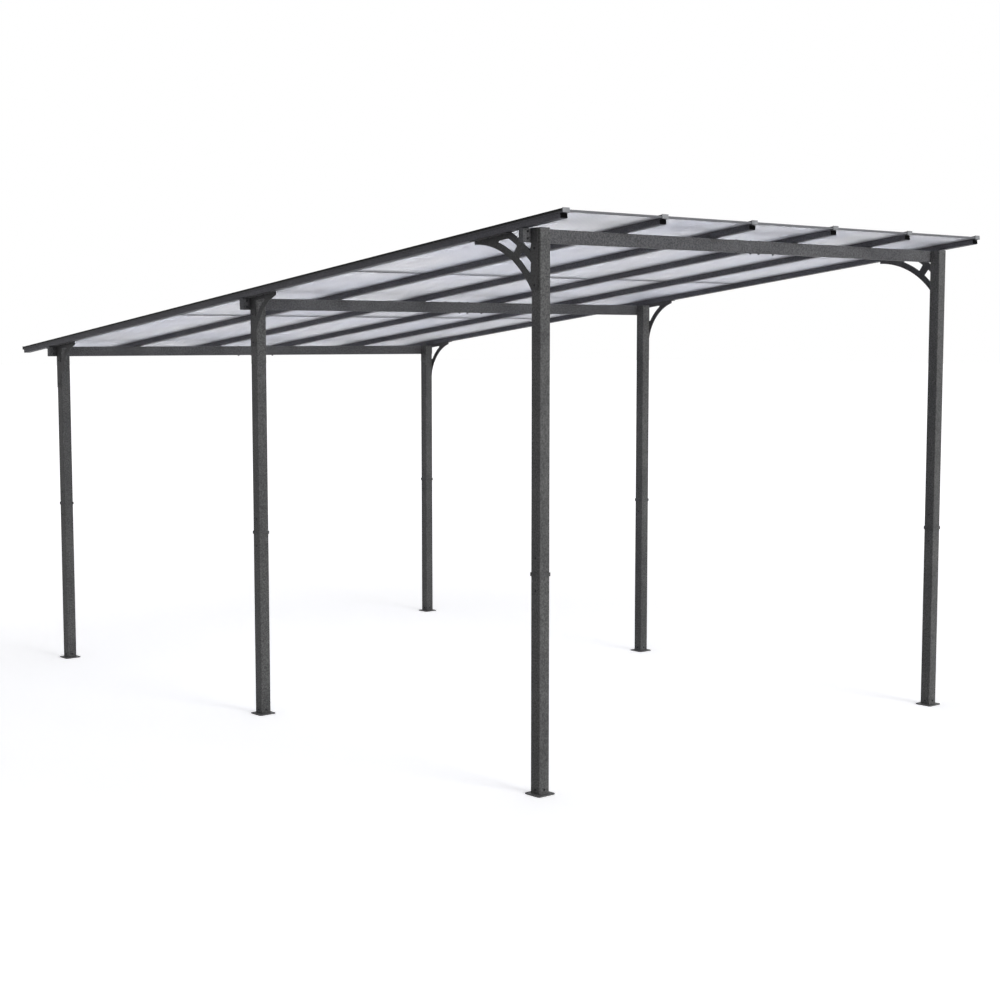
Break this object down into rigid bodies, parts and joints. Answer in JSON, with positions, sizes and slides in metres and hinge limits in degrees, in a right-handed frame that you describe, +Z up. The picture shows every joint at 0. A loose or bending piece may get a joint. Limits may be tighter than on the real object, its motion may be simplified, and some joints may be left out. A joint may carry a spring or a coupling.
{
  "type": "carport",
  "caption": "Free-standing carport: square steel posts with pierced curved gussets, cross beams, sloping rafters and translucent twin-wall roof sheets.",
  "frame": {"origin": "on the ground under the middle of the roof", "axes": "+X to the right across the carport, +Y to the rear down the roof slope, +Z up"},
  "size_m": [3.034, 5.021, 2.5386],
  "materials": {
    "post_steel": "fine textured powder coat, anthracite",
    "plate_steel": "fine textured powder coat, anthracite",
    "collar_steel": "fine textured powder coat, anthracite",
    "gusset_steel": "fine textured powder coat, anthracite",
    "beam_steel": "fine textured powder coat, anthracite",
    "rafter_steel": "fine textured powder coat, anthracite",
    "cleat_steel": "fine textured powder coat, anthracite",
    "tube_cap_steel": "fine textured powder coat, anthracite",
    "cover_aluminium": "powder coated extrusion, dark grey",
    "trim_aluminium": "satin extrusion, mid grey",
    "sheet_polycarbonate": "translucent twin-wall sheet, opal",
    "joiner_plastic": "extruded joiner, grey",
    "capping_plastic": "black extruded strip",
    "end_cap_plastic": "moulded cap, light grey",
    "plug_plastic": "moulded plug, black"
  },
  "bodies": {
    "root": {"front_left_base_plate": "plate_steel", "front_left_lower_post": "post_steel", "front_left_upper_post": "post_steel", "front_left_gusset": "gusset_steel", "front_right_base_plate": "plate_steel", "front_right_lower_post": "post_steel", "front_right_upper_post": "post_steel", "front_right_gusset": "gusset_steel", "front_beam": "beam_steel", "middle_left_base_plate": "plate_steel", "middle_left_lower_post": "post_steel", "middle_left_upper_post": "post_steel", "middle_left_gusset": "gusset_steel", "middle_right_base_plate": "plate_steel", "middle_right_lower_post": "post_steel", "middle_right_upper_post": "post_steel", "middle_right_gusset": "gusset_steel", "middle_beam": "beam_steel", "rear_left_base_plate": "plate_steel", "rear_left_lower_post": "post_steel", "rear_left_upper_post": "post_steel", "rear_left_gusset": "gusset_steel", "rear_right_base_plate": "plate_steel", "rear_right_lower_post": "post_steel", "rear_right_upper_post": "post_steel", "rear_right_gusset": "gusset_steel", "rear_beam": "beam_steel", "rafter_1": "rafter_steel", "rafter_2": "rafter_steel", "rafter_3": "rafter_steel", "rafter_4": "rafter_steel", "rafter_5": "rafter_steel", "rafter_6": "rafter_steel", "front_roof_sheets": "sheet_polycarbonate", "middle_roof_sheets": "sheet_polycarbonate", "rear_roof_sheets": "sheet_polycarbonate", "splice_collars": "collar_steel", "sheet_joiners": "joiner_plastic", "sheet_edge_trims": "trim_aluminium", "rafter_covers": "cover_aluminium", "cover_cappings": "capping_plastic", "cover_end_caps": "end_cap_plastic", "rafter_plugs": "plug_plastic", "tube_caps": "tube_cap_steel", "rafter_cleats": "cleat_steel"}
  },
  "joints": []
}
